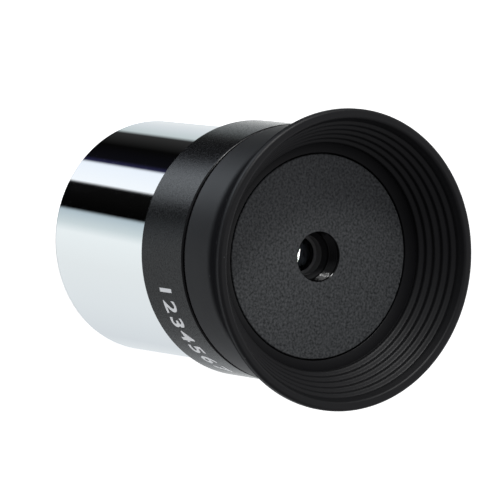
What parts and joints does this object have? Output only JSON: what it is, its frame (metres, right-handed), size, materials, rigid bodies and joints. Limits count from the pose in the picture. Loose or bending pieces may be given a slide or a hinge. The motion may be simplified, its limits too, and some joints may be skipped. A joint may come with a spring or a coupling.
{
  "type": "telescope eyepiece",
  "caption": "Push-fit telescope eyepiece with a chromed barrel, a black housing, a recessed eye plate with a small eye hole, and a flared rubber eyecup that turns and folds down.",
  "frame": {"origin": "centre of the barrel's open end face, on the optical axis", "axes": "+Z along the optical axis, from the barrel's open end towards the eye; +X and +Y across it"},
  "size_m": [0.04, 0.04, 0.0487],
  "materials": {
    "chromed_barrel": "polished",
    "black_anodised": "satin",
    "blasted_black": "matte",
    "matt_black": "matte",
    "blackened_brass": "matte",
    "coated_glass": "polished",
    "black_rubber": "matte",
    "white_ink": "satin"
  },
  "bodies": {
    "body": {"barrel": "chromed_barrel", "housing": "black_anodised", "eye_cap": "blasted_black", "cell_lock_ring": "matt_black", "lens_cell": "matt_black", "eye_lens_flint": "coated_glass", "eye_lens_crown": "coated_glass", "lens_spacer": "blackened_brass", "field_lens_crown": "coated_glass", "field_lens_flint": "coated_glass", "lens_retaining_ring": "matt_black", "field_stop": "blackened_brass", "stop_lock_ring": "matt_black"},
    "eyecup_base": {"eyecup_band": "black_rubber", "eyecup_wall": "black_rubber"},
    "eyecup_lip": {"eyecup_rim": "black_rubber"}
  },
  "joints": [
    {"name": "eyecup_turn", "type": "hinge", "parent": "body", "child": "eyecup_base", "pos_m": [0, 0, 0.0394], "axis": [0, 0, 1], "continuous": true},
    {"name": "eyecup_fold", "type": "slide", "parent": "eyecup_base", "child": "eyecup_lip", "axis": [0, 0, -1], "range_m": [0, 0.0092], "deforming": ["eyecup_wall"]}
  ]
}
